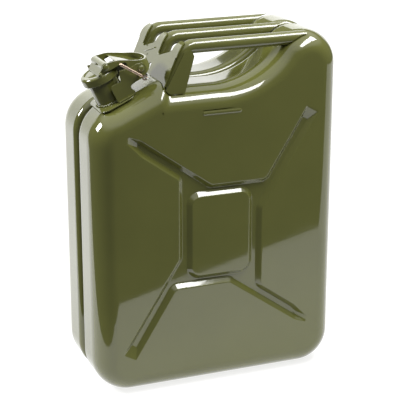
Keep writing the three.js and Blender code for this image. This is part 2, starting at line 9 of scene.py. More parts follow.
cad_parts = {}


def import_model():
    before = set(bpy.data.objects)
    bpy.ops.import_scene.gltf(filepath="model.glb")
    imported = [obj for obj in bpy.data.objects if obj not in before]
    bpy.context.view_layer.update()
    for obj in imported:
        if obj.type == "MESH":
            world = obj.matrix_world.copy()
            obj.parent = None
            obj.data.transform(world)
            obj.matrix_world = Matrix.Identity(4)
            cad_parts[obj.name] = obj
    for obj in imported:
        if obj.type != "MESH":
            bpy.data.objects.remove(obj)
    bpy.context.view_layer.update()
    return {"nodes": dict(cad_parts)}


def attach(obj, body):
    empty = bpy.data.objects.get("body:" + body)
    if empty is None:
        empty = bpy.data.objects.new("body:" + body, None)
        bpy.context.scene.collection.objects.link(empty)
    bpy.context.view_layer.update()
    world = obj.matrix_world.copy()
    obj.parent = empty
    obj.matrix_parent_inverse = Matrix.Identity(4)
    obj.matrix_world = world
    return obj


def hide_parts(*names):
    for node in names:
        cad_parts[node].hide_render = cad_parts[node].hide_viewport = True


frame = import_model()
random.seed(7)
MM = 0.001

# ---- Dimensions shared with the CAD ---------------------------------------------------------
# The can, its sheet and its lower corners. GAP is the clearance between neighbouring parts.
LENGTH, DEPTH, HEIGHT = 344.0, 165.0, 476.0
SIDE_X = LENGTH / 2
FACE_Y = DEPTH / 2
SHEET = 1.0
GAP = 0.3
FACE_ROUND = 27.0
FOOT_ROUND = 48.0
# The top: a slanted shoulder up to a crest, a drop into the hand recess, an arc up to the hump.
SPOUT_ROUND = 51.0
SHOULDER = math.radians(24.4)
SLOPE = math.tan(SHOULDER)
SHOULDER_X, SHOULDER_Z = -117.5, 403.7
CREST_X = -72.0
CREST_ROUND = 8.0
DROP = math.radians(55)
RECESS_X, RECESS_Z = 0.0, 414.5
RECESS_R = 120.0
RECESS_FOOT_ROUND = 9.0
HUMP_ROUND = 45.0
HUMP_LEFT_R = 41.88
HUMP_X = SIDE_X - HUMP_ROUND
ARC_Z = RECESS_Z + RECESS_R
ARC_SWEEP = math.asin((HUMP_X - RECESS_X) / (RECESS_R + HUMP_LEFT_R))
# The groove that the seam lies in, measured from the seam plane and from the narrow side.
LIP_ROUND = 10.0
LIP_START = 15.0
GROOVE = 11.0
# The pressings of the wide faces.
PRESS_DEPTH = 6.0
PRESS_SLOPE = 6.0
FACE_Z = 215.0
# The three handle tubes.
PITCH = 61.5
TUBE = 9.0
BAR_Z = HEIGHT - TUBE
BEND_R = 16.0
CORNER = (-42.0, BAR_Z)
LEAN = math.radians(23.4)
# The closure has its own frame: u up the shoulder, v to the back, w square to the shoulder.
CLOSURE_Y = -30.0
CLOSURE = Matrix.Translation((SHOULDER_X, CLOSURE_Y, SHOULDER_Z)) @ Matrix.Rotation(-SHOULDER, 4, "Y")
NECK_U = -15.8
NECK_R = 19.0
NECK_TOP = 40.0
LID_R = 24.3
LID_TOP = 44.3
LID_LOW = 33.0
CHEEK = 24.7
EAR_IN, EAR_OUT = 25.0, 27.0
HINGE = (31.6, 28.6)
HINGE_BORE = 3.3
LID_PIN = (-7.7, 51.0)
LID_PIN_BORE = 2.8
LOCK_HOLE = (25.7, 23.5)
LOCK_TIP = (7.7, 49.9)
LOCK_R = 1.9
LOCK_BORE = 2.2
GRIP_V = -(EAR_OUT + 6.9)


# ---- Plane curves ---------------------------------------------------------------------------
def arc(centre, radius, start, end, steps):
    """Points on an arc, angles in degrees."""
    out = []
    for i in range(steps + 1):
        a = math.radians(start + (end - start) * i / steps)
        out.append((centre[0] + radius * math.cos(a), centre[1] + radius * math.sin(a)))
    return out


def circle(radius, sides, centre=(0, 0)):
    """Points round a full circle."""
    return arc(centre, radius, 0, 360 - 360 / sides, sides - 1)


def fillet(before, corner, after, radius, steps):
    """The arc that touches both edges of a corner."""
    b, c, a = Vector(before), Vector(corner), Vector(after)
    to_b, to_a = (b - c).normalized(), (a - c).normalized()
    half = math.acos(max(-1, min(1, to_b.dot(to_a)))) / 2
    if half > math.pi / 2 - 1e-3:
        return [tuple(corner)] * (steps + 1)
    middle = c + (to_b + to_a).normalized() * (radius / math.sin(half))
    start = c + to_b * (radius / math.tan(half)) - middle
    end = c + to_a * (radius / math.tan(half)) - middle
    turn = math.atan2(start.x * end.y - start.y * end.x, start.dot(end))
    out = []
    for i in range(steps + 1):
        t = turn * i / steps
        x = start.x * math.cos(t) - start.y * math.sin(t)
        y = start.x * math.sin(t) + start.y * math.cos(t)
        out.append((middle.x + x, middle.y + y))
    return out


def rounded(corners, radius, steps):
    """A polygon with rounded corners: one radius for all, or a list with one for each."""
    n = len(corners)
    out = []
    for i, corner in enumerate(corners):
        r = radius[i] if isinstance(radius, list) else radius
        if r:
            out += fillet(corners[i - 1], corner, corners[(i + 1) % n], r, steps)
        else:
            out.append(tuple(corner))
    return out


def box_outline(left, right, low, high):
    """The four corners of an upright rectangle, counter-clockwise."""
    return [(left, low), (right, low), (right, high), (left, high)]


def inset(points, distances):
    """Moves each edge of a counter-clockwise polygon inwards by its own distance."""
    n = len(points)
    lines = []
    for i, p in enumerate(points):
        q = points[(i + 1) % n]
        size = math.hypot(q[0] - p[0], q[1] - p[1])
        nx, ny = -(q[1] - p[1]) / size, (q[0] - p[0]) / size
        lines.append((nx, ny, nx * p[0] + ny * p[1] + distances[i]))
    out = []
    for i in range(n):
        a, b, c = lines[i - 1]
        d, e, f = lines[i]
        det = a * e - b * d
        out.append(((c * e - b * f) / det, (a * f - c * d) / det))
    return out


def supported(points, reach=3.0, longest=18.0):
    """Adds points near the ends of every long edge, so that shading stays flat between them."""
    out = []
    n = len(points)
    for i, p in enumerate(points):
        q = points[(i + 1) % n]
        a, b = Vector(p), Vector(q)
        size = (b - a).length
        out.append(tuple(p))
        if size > longest:
            along = (b - a) / size
            out.append(tuple(a + along * reach))
            out.append(tuple(b - along * reach))
    return out


def shoulder_z(x, depth=0.0):
    """Height of the slanted shoulder at x, moved down square to itself by depth."""
    return SHOULDER_Z + (x - SHOULDER_X) * SLOPE - depth / math.cos(SHOULDER)


def can_outline(depth):
    """Outline of the can in X-Z, counter-clockwise, every edge moved inwards by depth."""
    sweep_angle = math.degrees(ARC_SWEEP)
    spout_x = -SIDE_X + SPOUT_ROUND
    spout_z = shoulder_z(spout_x) - SPOUT_ROUND / math.cos(SHOULDER)
    floor = RECESS_Z - depth
    fall = math.tan(DROP)
    crest_x = CREST_X + depth * (1 / math.cos(SHOULDER) - 1 / math.cos(DROP)) / (SLOPE + fall)
    crest_z = shoulder_z(CREST_X) - (crest_x - CREST_X) * fall - depth / math.cos(DROP)
    foot_x = CREST_X + (shoulder_z(CREST_X) - depth / math.cos(DROP) - floor) / fall
    soft = 1 - depth / (2.2 * FACE_ROUND)
    crest, foot = (crest_x, crest_z), (foot_x, floor)
    low_left = (-SIDE_X + FOOT_ROUND, FOOT_ROUND)
    low_right = (SIDE_X - FOOT_ROUND, FOOT_ROUND)
    return supported([
        *arc(low_left, FOOT_ROUND - depth, 180, 270, 16),
        *arc(low_right, FOOT_ROUND - depth, 270, 360, 16),
        *arc((HUMP_X, HEIGHT - HUMP_ROUND), HUMP_ROUND - depth, 0, 88, 16),
        *arc((HUMP_X, HEIGHT - HUMP_LEFT_R), HUMP_LEFT_R - depth, 90, 90 + sweep_angle, 8),
        *arc((RECESS_X, ARC_Z), RECESS_R + depth, -90 + sweep_angle, -90, 28)[1:],
        *fillet((RECESS_X, floor), foot, crest, RECESS_FOOT_ROUND * soft, 6),
        *fillet(foot, crest, (-SIDE_X, shoulder_z(-SIDE_X, depth)), CREST_ROUND * soft, 6),
        *arc((spout_x, spout_z), SPOUT_ROUND - depth, 90 + math.degrees(SHOULDER), 180, 14),
    ])


# Half of the pressed cross, about the face's middle. Half a turn gives the other half.
CROSS_HALF = [
    (139, 154), (59, 29), (59, -81), (110, -118), (129, -138),
    (129, -147), (110, -140), (13, -70.3), (-64, -70.3), (-122, -164),
]
CROSS_ROUNDS = [2.5, 9, 7, 22, 3, 3, 22, 8, 9, 2.5]
# Every fifth edge is the blunt end of an arm, where the pressed slope is longer.
TIP_EVERY = 5
TIP_SLOPE = 16.0
SHARPEST_CROSS_ROUND = 0.4


def cross_ring(distance):
    """The pressed cross's edge moved inwards by distance, corners rounded."""
    points = (CROSS_HALF + [(-x, -z) for x, z in CROSS_HALF])[::-1]
    radii = (CROSS_ROUNDS * 2)[::-1]
    n = len(points)
    shift = []
    for i in range(n):
        slope = TIP_SLOPE if i % TIP_EVERY == TIP_EVERY - 1 else PRESS_SLOPE
        shift.append(slope / PRESS_SLOPE * distance)
    moved = inset(points, shift)
    ring = []
    for i, corner in enumerate(moved):
        p, c, q = Vector(points[i - 1]), Vector(points[i]), Vector(points[(i + 1) % n])
        cross = (c - p).x * (q - c).y - (c - p).y * (q - c).x
        radius = max(SHARPEST_CROSS_ROUND, radii[i] + (-distance if cross > 0 else distance))
        ring += fillet(moved[i - 1], corner, moved[(i + 1) % n], radius, 7)
    return [(x, z + FACE_Z) for x, z in ring]


PAD_HALF_WIDTH, PAD_HALF_HEIGHT, PAD_ROUND = 40.5, 55.0, 12.0
RIB_LEFT, RIB_RIGHT, RIB_LOW, RIB_HIGH, RIB_ROUND = -25.5, 27.5, 380.5, 384.2, 1.8


def pad_ring(grow):
    """The edge of the raised pad in the cross's middle, grown outwards."""
    w, h = PAD_HALF_WIDTH + grow, PAD_HALF_HEIGHT + grow
    r = max(1.0, PAD_ROUND + grow)
    return [(x, z + FACE_Z) for x, z in rounded(box_outline(-w, w, -h, h), r, 10)]


def rib_ring(grow):
    """The edge of the short raised bar under the hand recess, grown outwards."""
    corners = box_outline(RIB_LEFT - grow, RIB_RIGHT + grow, RIB_LOW - grow, RIB_HIGH + grow)
    return rounded(corners, max(0.3, RIB_ROUND + grow), 5)


# ---- Mesh helpers ---------------------------------------------------------------------------
def finish_mesh(bm, name, matrix=None):
    """Turns a bmesh in millimetres into an object in metres, all faces facing out."""
    bmesh.ops.remove_doubles(bm, verts=bm.verts, dist=1e-4)
    bmesh.ops.recalc_face_normals(bm, faces=bm.faces)
    mesh = bpy.data.meshes.new(name)
    bm.to_mesh(mesh)
    bm.free()
    mesh.transform(Matrix.Scale(MM, 4) @ (matrix or Matrix.Identity(4)))
    for face in mesh.polygons:
        face.use_smooth = True
    obj = bpy.data.objects.new(name, mesh)
    bpy.context.scene.collection.objects.link(obj)
    return obj


def solid(bm, name):
    """A mesh built in the closure's frame, put in its place."""
    return finish_mesh(bm, name, CLOSURE)


def add_rings(bm, rings, closed=False, wrap=True):
    """Quads between rings of points. wrap joins each ring's ends, closed joins last to first."""
    rows = [[bm.verts.new(p) for p in ring] for ring in rings]
    pairs = list(zip(rows, rows[1:]))
    if closed:
        pairs.append((rows[-1], rows[0]))
    for low, high in pairs:
        n = len(low)
        for i in range(n if wrap else n - 1):
            j = (i + 1) % n
            bm.faces.new((low[i], low[j], high[j], high[i]))
    return rows


def capped_rings(rings):
    """A solid through rings of points, closed with a flat face at each end."""
    bm = bmesh.new()
    rows = add_rings(bm, rings)
    bm.faces.new(rows[0])
    bm.faces.new(rows[-1])
    return bm


def prism(outline, low, high, plane="xz"):
    """A prism of an outline, between two values of the third coordinate."""
    if plane == "xz":
        return capped_rings([[(x, end, z) for x, z in outline] for end in (low, high)])
    return capped_rings([[(x, y, end) for x, y in outline] for end in (low, high)])


def rod(radius, at, low, high, sides=32, plane="xz"):
    """A cylinder across the closure, or along w in the xy plane."""
    return prism(circle(radius, sides, at), low, high, plane)


def turned(profile, sides, at=(NECK_U, 0.0), across=False, wrap=False):
    """Turns a (radius, height) profile about an axis along w, or along v if across."""
    rings = []
    for i in range(sides):
        a = 2 * math.pi * i / sides
        ring = []
        for r, height in profile:
            first, second = at[0] + r * math.cos(a), at[1] + r * math.sin(a)
            ring.append((first, height, second) if across else (first, second, height))
        rings.append(ring)
    bm = bmesh.new()
    add_rings(bm, rings, closed=True, wrap=wrap)
    return bm


def sweep(path, section, name, matrix=None, closed=False):
    """Sweeps a closed section of (across, up) points along a path of 3D points."""
    pts = [Vector(p) for p in path]
    n = len(pts)
    rings = []
    up = None
    for i, p in enumerate(pts):
        if closed:
            tangent = (pts[(i + 1) % n] - pts[i - 1]).normalized()
        else:
            tangent = (pts[min(i + 1, n - 1)] - pts[max(i - 1, 0)]).normalized()
        if up is None:
            up = Vector((0, 1, 0)) if abs(tangent.y) < 0.9 else Vector((1, 0, 0))
        across = tangent.cross(up).normalized()
        up = across.cross(tangent).normalized()
        rings.append([p + across * a + up * b for a, b in section])
    if not closed:
        return finish_mesh(capped_rings(rings), name, matrix)
    bm = bmesh.new()
    add_rings(bm, rings, closed=True)
    return finish_mesh(bm, name, matrix)


def apply_all(obj):
    """Applies an object's modifiers to its mesh."""
    depsgraph = bpy.context.evaluated_depsgraph_get()
    mesh = bpy.data.meshes.new_from_object(obj.evaluated_get(depsgraph))
    obj.modifiers.clear()
    obj.data = mesh
    return obj


def boolean(obj, cutters, operation="DIFFERENCE"):
    """Cuts, joins or intersects with other objects, which are used up."""
    for cutter in cutters:
        mod = obj.modifiers.new("b", "BOOLEAN")
        mod.operation = operation
        mod.solver = "EXACT"
        mod.object = cutter
    apply_all(obj)
    for cutter in cutters:
        bpy.data.objects.remove(cutter)
    return obj


# Cutters across the closure reach this far to each side, past everything on it.
THROUGH = 40.0


def bore(radius, at, low=-THROUGH, high=THROUGH, sides=32, plane="xz"):
    """A round cutter or stud in the closure's frame."""
    return solid(rod(radius, at, low, high, sides, plane), "bore")


def clean(obj):
    """Joins the slivers that cutting leaves on flat faces."""
    bm = bmesh.new()
    bm.from_mesh(obj.data)
    bmesh.ops.remove_doubles(bm, verts=bm.verts, dist=0.02 * MM)
    bmesh.ops.dissolve_limit(bm, angle_limit=math.radians(0.6), verts=bm.verts, edges=bm.edges)
    bm.to_mesh(obj.data)
    bm.free()


def shade(obj, angle=50.0):
    """Smooth shading up to an angle, with flat faces kept flat."""
    for face in obj.data.polygons:
        face.use_smooth = True
    obj.data.set_sharp_from_angle(angle=math.radians(angle))
    mod = obj.modifiers.new("flats", "WEIGHTED_NORMAL")
    mod.weight = 80
    mod.keep_sharp = True
    return apply_all(obj)


def soften(obj, width, segments=3, angle=35.0):
    """Rounds the edges sharper than an angle and drops the tiny faces that this leaves."""
    clean(obj)
    mod = obj.modifiers.new("round", "BEVEL")
    mod.width = width * MM
    mod.segments = segments
    mod.limit_method = "ANGLE"
    mod.angle_limit = math.radians(angle)
    mod.use_clamp_overlap = True
    apply_all(obj)
    bm = bmesh.new()
    bm.from_mesh(obj.data)
    bmesh.ops.dissolve_degenerate(bm, dist=0.004 * MM, edges=bm.edges)
    bm.to_mesh(obj.data)
    bm.free()
    return shade(obj)


# ---- Materials --------------------------------------------------------------------------------
def new_material(name):
    """A node material, with its nodes, its links and its shader."""
    mat = bpy.data.materials.new(name)
    mat.use_nodes = True
    return mat, mat.node_tree.nodes, mat.node_tree.links, mat.node_tree.nodes["Principled BSDF"]


def noise_node(nodes, links, scale, detail, rough):
    """Noise in the object's own coordinates."""
    tex = nodes.new("ShaderNodeTexCoord")
    noise = nodes.new("ShaderNodeTexNoise")
    noise.inputs["Scale"].default_value = scale
    noise.inputs["Detail"].default_value = detail
    noise.inputs["Roughness"].default_value = rough
    links.new(tex.outputs["Object"], noise.inputs["Vector"])
    return noise


def ramp_node(nodes, links, source, first, last):
    """Turns a value into a colour, between two (position, colour) stops."""
    ramp = nodes.new("ShaderNodeValToRGB")
    for element, (position, color) in zip(ramp.color_ramp.elements, (first, last)):
        element.position = position
        element.color = color
    links.new(source, ramp.inputs["Fac"])
    return ramp


def bump_node(nodes, links, source, strength, distance, after=None):
    """Bumps from a height, on top of an earlier normal if there is one."""
    bump = nodes.new("ShaderNodeBump")
    bump.inputs["Strength"].default_value = strength
    bump.inputs["Distance"].default_value = distance
    links.new(source, bump.inputs["Height"])
    if after is not None:
        links.new(after, bump.inputs["Normal"])
    return bump


def grey(v):
    """A grey as an opaque colour."""
    return (v, v, v, 1)


def toned(colour, factor):
    """A colour made darker or lighter, opaque."""
    return tuple(c * factor for c in colour) + (1,)


def enamel(name, colour, gloss=(0.05, 0.11), peel=0.035, lumps=0.0):
    """Gloss stoved enamel on pressed steel: faint cloudiness, orange peel, a few dull specks."""
    mat, nodes, links, shader = new_material(name)
    cloud = noise_node(nodes, links, scale=7.0, detail=4.0, rough=0.55)
    dark, light = toned(colour, 0.93), toned(colour, 1.07)
    tint = ramp_node(nodes, links, cloud.outputs["Fac"], (0.3, dark), (0.7, light))
    links.new(tint.outputs["Color"], shader.inputs["Base Color"])
    fine = noise_node(nodes, links, scale=55.0, detail=5.0, rough=0.6)
    smooth, dull = grey(gloss[0]), grey(gloss[1])
    rough = ramp_node(nodes, links, fine.outputs["Fac"], (0.35, smooth), (0.8, dull))
    links.new(rough.outputs["Color"], shader.inputs["Roughness"])
    skin = noise_node(nodes, links, scale=240.0, detail=2.0, rough=0.5)
    wave = noise_node(nodes, links, scale=14.0, detail=1.0, rough=0.4)
    first = bump_node(nodes, links, wave.outputs["Fac"], strength=0.10, distance=0.0008)
    last = bump_node(nodes, links, skin.outputs["Fac"], peel, 0.0006, first.outputs["Normal"])
    if lumps:
        weld = noise_node(nodes, links, scale=420.0, detail=3.0, rough=0.6)
        last = bump_node(nodes, links, weld.outputs["Fac"], lumps, 0.0012, last.outputs["Normal"])
    links.new(last.outputs["Normal"], shader.inputs["Normal"])
    shader.inputs["IOR"].default_value = 1.52
    shader.inputs["Coat Weight"].default_value = 0.6
    shader.inputs["Coat Roughness"].default_value = 0.03
    shader.inputs["Coat IOR"].default_value = 1.55
    return mat


def metal(name, colour, rough, scratch, tarnish):
    """Plated steel: drawn grain, cloudy tarnish."""
    mat, nodes, links, shader = new_material(name)
    shader.inputs["Metallic"].default_value = 1.0
    cloud = noise_node(nodes, links, scale=90.0, detail=5.0, rough=0.65)
    dark, bright = toned(colour, tarnish), toned(colour, 1.0)
    tint = ramp_node(nodes, links, cloud.outputs["Fac"], (0.35, dark), (0.62, bright))
    links.new(tint.outputs["Color"], shader.inputs["Base Color"])
    dull, smooth = grey(rough[1]), grey(rough[0])
    spots = ramp_node(nodes, links, cloud.outputs["Fac"], (0.3, dull), (0.7, smooth))
    links.new(spots.outputs["Color"], shader.inputs["Roughness"])
    grain = noise_node(nodes, links, scale=900.0, detail=2.0, rough=0.5)
    bump = bump_node(nodes, links, grain.outputs["Fac"], scratch, 0.0003)
    links.new(bump.outputs["Normal"], shader.inputs["Normal"])
    return mat


def rubber(name):
    """Dusty black rubber."""
    mat, nodes, links, shader = new_material(name)
    dust = noise_node(nodes, links, scale=120.0, detail=4.0, rough=0.6)
    black, dusty = grey(0.011), (0.03, 0.03, 0.028, 1)
    tint = ramp_node(nodes, links, dust.outputs["Fac"], (0.4, black), (0.75, dusty))
    links.new(tint.outputs["Color"], shader.inputs["Base Color"])
    rough = ramp_node(nodes, links, dust.outputs["Fac"], (0.3, grey(0.5)), (0.7, grey(0.75)))
    links.new(rough.outputs["Color"], shader.inputs["Roughness"])
    bump = bump_node(nodes, links, dust.outputs["Fac"], 0.2, 0.0003)
    links.new(bump.outputs["Normal"], shader.inputs["Normal"])
    return mat


PAINT = enamel("gloss_olive_enamel", (0.106, 0.111, 0.027))
# The weld's enamel is rougher and lumpier than the body's. Its darker colour is painted shade for the seam
# groove that the bead lies in.
WELD_PAINT_AND_GROOVE_SHADE = enamel("enamel_over_weld_and_painted_shade", (0.05, 0.052, 0.018), (0.18, 0.4), peel=0.05, lumps=0.8)
COPPER = metal("bright_copper_plate", (0.93, 0.71, 0.55), (0.22, 0.36), scratch=0.03, tarnish=0.6)
ZINC = metal("zinc_plate", (0.56, 0.56, 0.53), (0.28, 0.5), scratch=0.2, tarnish=0.8)
RUBBER = rubber("gasket_rubber_black")
SLOT = {"enamel": PAINT, "painted_weld": WELD_PAINT_AND_GROOVE_SHADE, "bare_steel": ZINC, "coppered_steel": COPPER}


def piece(obj, body, slot, *nodes):
    """Gives a piece its finish, its body and the CAD nodes it stands for."""
    obj.data.materials.clear()
    obj.data.materials.append(SLOT[slot])
    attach(obj, body)
    if nodes:
        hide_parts(*nodes)
    return obj


# ---- Half shells ------------------------------------------------------------------------------
# The rounding reaches further across the narrow side than into the face, as a slight crown.
CROWN = 36.0


def shell_section():
    """Half shell from the face to the seam: (distance from the seam plane, depth) pairs."""
    start = FACE_Y - CROWN
    curve = []
    for i in range(19):
        a = math.pi / 2 * (1 - i / 18)
        curve.append((start + CROWN * math.sin(a), FACE_ROUND - FACE_ROUND * math.cos(a)))
    side = [(start - 1.5, 0.0), (LIP_START + 1.5, 0.0)]
    lip = []
    for i in range(9):
        a = math.pi / 2 * i / 8
        lip.append((LIP_START - LIP_ROUND * math.sin(a), LIP_ROUND - LIP_ROUND * math.cos(a)))
    valley = LIP_START - LIP_ROUND
    flange = [(valley - 0.2, GROOVE - 0.4), (valley - 0.9, GROOVE), (GAP / 2, GROOVE)]
    return curve + side + lip + flange


def pressed_slope(reach, depth, radius=2.0):
    """A pressed slope at 45 degrees, rounded at both ends: (distance, depth) pairs."""
    rise = []
    for degrees in (0, 11, 22, 33, 45):
        a = math.radians(degrees)
        across = radius * math.sin(a) - radius * math.tan(math.pi / 8)
        rise.append((across, radius * (1 - math.cos(a))))
    far = [(reach - d, depth - h) for d, h in reversed(rise)]
    return [(rise[0][0] - 1.6, 0.0)] + rise + far + [(far[-1][0] + 0.5, depth)]


# The raised bar's section: (distance outside its edge, height above the face).
RIB_SECTION = [(2.6, 0.0), (1.3, 0.0), (0.7, 0.1), (0.1, 0.45), (-0.4, 0.75), (-1.0, 0.85), (-1.3, 0.85)]


def shell_mesh():
    """Outer skin of the front half shell, open at the seam flange's edge."""
    bm = bmesh.new()

    def at(points, y):
        return [(x, y, z) for x, z in points]

    def fill(*loops):
        edges = []
        for loop in loops:
            edges += [bm.edges.get((v, loop[(i + 1) % len(loop)])) for i, v in enumerate(loop)]
        bmesh.ops.triangle_fill(bm, edges=edges, use_beauty=True, normal=(0, -1, 0))

    side = [at(can_outline(depth), -y) for y, depth in shell_section()]
    edge = add_rings(bm, [at(can_outline(FACE_ROUND + 1.6), -FACE_Y)] + side)[0]
    slope = pressed_slope(PRESS_SLOPE, PRESS_DEPTH)
    cross = add_rings(bm, [at(cross_ring(d), -FACE_Y + h) for d, h in slope])
    climb = slope[:-1] + [(slope[-1][0] + 2, PRESS_DEPTH)]
    pad = add_rings(bm, [at(pad_ring(PRESS_SLOPE - d), -FACE_Y + PRESS_DEPTH - h) for d, h in climb])
    rib = add_rings(bm, [at(rib_ring(grow), -FACE_Y - h) for grow, h in RIB_SECTION])
    fill(edge, cross[0], rib[0])
    fill(cross[-1], pad[0])
    fill(pad[-1])
    fill(rib[-1])
    bmesh.ops.remove_doubles(bm, verts=bm.verts, dist=1e-3)
    return bm


def half_shell(name, mirror):
    """One half shell with its sheet thickness. The front one has the hole for the neck."""
    obj = finish_mesh(shell_mesh(), name)
    if mirror:
        obj.data.transform(Matrix.Scale(-1, 4, (0, 1, 0)))
        obj.data.flip_normals()
    mod = obj.modifiers.new("wall", "SOLIDIFY")
    mod.thickness = SHEET * MM
    mod.offset = -1
    apply_all(obj)
    if not mirror:
        boolean(obj, [bore(NECK_R + GAP, (NECK_U, 0), -40, 30, 64, "xy")])
    return shade(obj, 60)


piece(half_shell("front_half_shell", False), "can", "enamel", "front_shell")
piece(half_shell("rear_half_shell", True), "can", "enamel", "rear_shell")

# The weld bead: (across the seam, height), with a puddle every PUDDLE_PITCH.
BEAD_SECTION = [(-2.3, 0), (-1.9, 0.75), (-0.9, 1.25), (0, 1.4), (0.9, 1.25), (1.9, 0.75), (2.3, 0)]
BEAD_STEP = 0.9
PUDDLE_PITCH = 4.2
HAND_DRIFT = 0.25


def weld_ripples():
    """The seam weld: a hand-run bead of overlapping puddles round the whole can."""
    ring = can_outline(GROOVE - GAP)
    points, walked = [], 0.0
    for i, p in enumerate(ring):
        a, b = Vector(p), Vector(ring[(i + 1) % len(ring)])
        steps = max(1, round((b - a).length / BEAD_STEP))
        points += [a.lerp(b, k / steps) for k in range(steps)]
    n = len(points)
    rings = []
    for i, p in enumerate(points):
        ahead = (points[(i + 1) % n] - points[i - 1]).normalized()
        outward = Vector((ahead.y, -ahead.x))
        walked += (p - points[i - 1]).length
        puddle = 0.5 + 0.5 * math.cos(walked * 2 * math.pi / PUDDLE_PITCH)
        swell = 0.75 + 0.25 * puddle + random.uniform(-0.06, 0.06)
        drift = HAND_DRIFT * math.sin(walked / 23.0)
        section = [(y * 0.97 + drift, h * swell) for y, h in BEAD_SECTION]
        rings.append([(p.x + outward.x * h, y, p.y + outward.y * h) for y, h in section])
    bm = bmesh.new()
    add_rings(bm, rings, closed=True)
    return finish_mesh(bm, "seam_weld_bead")


# The bead's darker enamel is painted shade for the seam groove.
piece(weld_ripples(), "can", "painted_weld", "seam_weld")


# ---- Handles ----------------------------------------------------------------------------------
def can_block():
    """The can as a plain solid, grown a little: what handles and plates end on."""
    corner = FACE_Y - FACE_ROUND
    grown = FACE_ROUND + 0.1
    half = []
    for i in range(13):
        a = math.pi / 2 * i / 12
        half.append((corner + grown * math.cos(a), FACE_ROUND - grown * math.sin(a)))
    rings = [(-y, d) for y, d in half] + [(y, d) for y, d in reversed(half)]
    return finish_mesh(capped_rings([[(x, y, z) for x, z in can_outline(d)] for y, d in rings]), "block")


BEND_TURN = math.pi / 2 - LEAN
BEND_X = CORNER[0] + BEND_R * math.tan(BEND_TURN / 2)
LEG_REACH = 52


def handle_path(y):
    """A tube's centre line: along the top from the hump, round the bend and down the leg."""
    path = [(HUMP_X - 1, y, BAR_Z), (60, y, BAR_Z), (0, y, BAR_Z), (BEND_X + 4, y, BAR_Z)]
    for i in range(15):
        a = BEND_TURN * i / 14
        path.append((BEND_X - BEND_R * math.sin(a), y, BAR_Z - BEND_R * (1 - math.cos(a))))
    x, _, z = path[-1]
    for reach in (4, LEG_REACH):
        path.append((x - reach * math.sin(LEAN), y, z - reach * math.cos(LEAN)))
    return path


def handle(y, name):
    """One bent tube, cut off where it meets the can."""
    outer = sweep(handle_path(y), circle(TUBE, 36), name)
    return shade(boolean(outer, [can_block()]), 60)


for y, word in ((-PITCH, "front"), (0, "middle"), (PITCH, "rear")):
    piece(handle(y, "tube_handle_" + word), "can", "enamel", "handle_" + word)


def leg_frame():
    """Local frame of the foot plate: x up the legs, y across, z to the left of the legs."""
    off = TUBE + GAP
    x, z = CORNER[0] - off * math.cos(LEAN), CORNER[1] + off * math.sin(LEAN)
    return Matrix.Translation((x, 0, z)) @ Matrix.Rotation(LEAN - math.pi / 2, 4, "Y")


PLATE_WALL = 1.5
PLATE_LOW = -66.0
PLATE_TOP = -BEND_R * math.tan(BEND_TURN / 2)
PLATE_HALF = 70.0
PRONG_HALF = 10.5
PRONG_TAPER = 5.5
PRONG_CURL = math.radians(36)
SLIT = box_outline(-22.4, -20.6, 30, 36)
TIE_HOLE, TIE_AT = 4.2, (-43, 0)
SMALL_HOLE, SMALL_AT = 1.4, (-31.8, 22)
LAP_PATH = [(-30.5, 34, 1.6), (-27, 27, 1.7), (-24, 18, 1.8), (-21, 10, 1.7), (-18, 3, 1.6)]


def notch(near, far):
    """Opening between two prongs: deep beside one tube, running out towards the other."""
    return rounded([(6, near), (-12, near), (-24, far - 8), (-24, far), (6, far)], [0, 10, 6, 3, 0], 8)


def wrapped_prong(y):
    """The end of a prong, curled over its tube's bend and tapering to a tongue."""
    low, high = TUBE + GAP, TUBE + GAP + PLATE_WALL
    rings = []
    for i in range(-2, 15):
        curl = max(0, i) / 14
        a = BEND_TURN - curl * PRONG_CURL
        back = min(0, i) * 3.0
        half = PRONG_HALF - PRONG_TAPER * curl ** 2
        x = BEND_X - BEND_R * math.sin(a) + back * math.sin(LEAN)
        z = BAR_Z - BEND_R * (1 - math.cos(a)) + back * math.cos(LEAN)
        rings.append([(x - off * math.sin(a), y + side, z + off * math.cos(a))
                      for off, side in ((low, -half), (high, -half), (high, half), (low, half))])
    return finish_mesh(capped_rings(rings), "prong")


def foot_plate():
    """Notched plate across the three legs, with prongs, a tie hole, a small hole and a slit."""
    legs = leg_frame()
    blank = box_outline(PLATE_LOW, PLATE_TOP, -PLATE_HALF, PLATE_HALF)
    plate = finish_mesh(prism(blank, 0, PLATE_WALL, "xy"), "foot_plate_notched", legs)
    inner = PITCH - PRONG_HALF
    outlines = [notch(-inner, -PRONG_HALF), notch(PRONG_HALF, inner), circle(TIE_HOLE, 24, TIE_AT),
                circle(SMALL_HOLE, 20, SMALL_AT), rounded(SLIT, 0.8, 5)]
    cutters = [finish_mesh(prism(outline, -5, 5, "xy"), "cutter", legs) for outline in outlines]
    boolean(plate, cutters + [can_block()])
    boolean(plate, [wrapped_prong(y) for y in (-PITCH, 0, PITCH)], "UNION")
    return soften(plate, 0.4)


def plate_lap():
    """Folded edge that runs down across the foot plate."""
    return sweep(LAP_PATH, circle(0.75, 12), "foot_plate_lap", leg_frame())


def gusset(side, name):
    """Tapered flange outside an outer handle, cut off where it meets the can."""
    outline = rounded([(-80, 400), (-49, 400), (-33.5, 456), (-38, 466), (-47, 462)], [0, 0, 3, 4, 6], 8)
    near = PITCH + TUBE + GAP
    low, high = sorted((near * side, (near + PLATE_WALL) * side))
    obj = finish_mesh(prism(outline, low, high), name)
    boolean(obj, [can_block()])
    return soften(obj, 0.5)


piece(foot_plate(), "can", "enamel", "handle_foot_plate")
piece(plate_lap(), "can", "enamel")
piece(gusset(-1, "handle_gusset_front"), "can", "enamel", "gusset_front")
piece(gusset(1, "handle_gusset_rear"), "can", "enamel", "gusset_rear")

